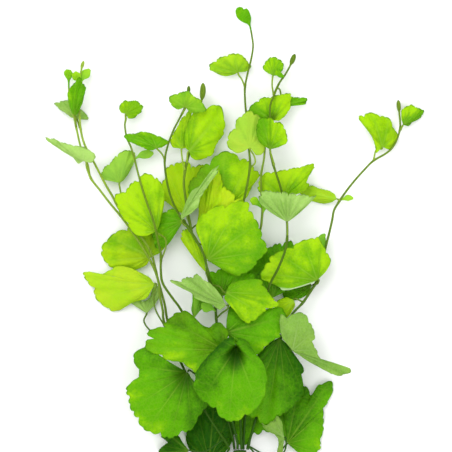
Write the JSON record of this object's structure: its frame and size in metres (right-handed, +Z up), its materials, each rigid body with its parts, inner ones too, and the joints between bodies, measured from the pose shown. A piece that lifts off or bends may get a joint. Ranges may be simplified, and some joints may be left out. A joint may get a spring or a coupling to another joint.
{
  "type": "cut bunch of cardamine shoots",
  "caption": "Loose cut bunch of thin-stemmed shoots with round scalloped green leaves, lying on its back; shoots fan out from one short cut stock.",
  "frame": {"origin": "on the surface the bunch lies on, under the middle of its bounding box", "axes": "+Y up the bunch from the cut stock to the shoot tips, +X across the bunch, to the right in the picture, +Z up, away from the surface"},
  "size_m": [0.1883, 0.2324, 0.0329],
  "materials": {
    "leaf_bright": "bright yellow-green leaf, soft satin, lets light through",
    "leaf_dark": "deeper green leaf in shade, soft satin, lets light through",
    "leaf_pale": "pale dull underside of a leaf",
    "stem": "olive-green smooth stem"
  },
  "bodies": {
    "root": {"stem_base": "stem", "stem_far_left": "stem", "stem_left": "stem", "stem_left_center": "stem", "stem_center_left": "stem", "stem_center_fork": "stem", "stem_tall": "stem", "stem_right_center": "stem", "stem_center_right": "stem", "stem_far_right": "stem", "leaf_far_left_folded": "leaf_dark", "leaf_far_left_behind": "leaf_pale", "leaf_far_left_pale": "leaf_pale", "leaf_left_round": "leaf_dark", "leaf_left_dark": "leaf_dark", "leaf_left_petiole": "leaf_bright", "leaf_left_big": "leaf_bright", "leaf_left_behind": "leaf_dark", "leaf_left_yellow": "leaf_bright", "leaf_left_bright": "leaf_bright", "leaf_left_underside": "leaf_pale", "leaf_center_left_top": "leaf_bright", "leaf_center_left_big": "leaf_bright", "leaf_center_left_side": "leaf_bright", "leaf_center_left_yellow": "leaf_bright", "leaf_center_strip": "leaf_bright", "leaf_center_upper": "leaf_bright", "leaf_center_edge": "leaf_pale", "leaf_center_bright": "leaf_bright", "leaf_center_largest": "leaf_bright", "leaf_tall_side": "leaf_bright", "leaf_tall_pale": "leaf_bright", "leaf_tall_green": "leaf_bright", "leaf_tall_light": "leaf_bright", "leaf_tall_front": "leaf_bright", "leaf_tall_small": "leaf_bright", "leaf_right_center_bright": "leaf_bright", "leaf_right_center_long": "leaf_bright", "leaf_right_center_funnel": "leaf_pale", "leaf_far_right_tip": "leaf_bright", "leaf_far_right_triangle": "leaf_bright", "leaf_right_big": "leaf_bright", "leaf_right_behind": "leaf_dark", "leaf_right_dark_small": "leaf_dark", "leaf_right_low_bright": "leaf_bright", "leaf_middle_yellow": "leaf_bright", "leaf_middle_band": "leaf_pale", "leaf_middle_dark": "leaf_dark", "leaf_middle_vertical": "leaf_dark", "leaf_low_left": "leaf_bright", "leaf_low_left_round": "leaf_bright", "leaf_low_front": "leaf_bright", "leaf_low_behind": "leaf_dark", "leaf_low_right_dark": "leaf_dark", "leaf_low_right_pale": "leaf_pale", "leaf_low_right": "leaf_dark", "leaf_low_right_curl": "leaf_pale", "leaf_low_back": "leaf_dark", "leaf_low_left_small": "leaf_dark", "leaf_low_center_dark": "leaf_dark"}
  },
  "joints": []
}
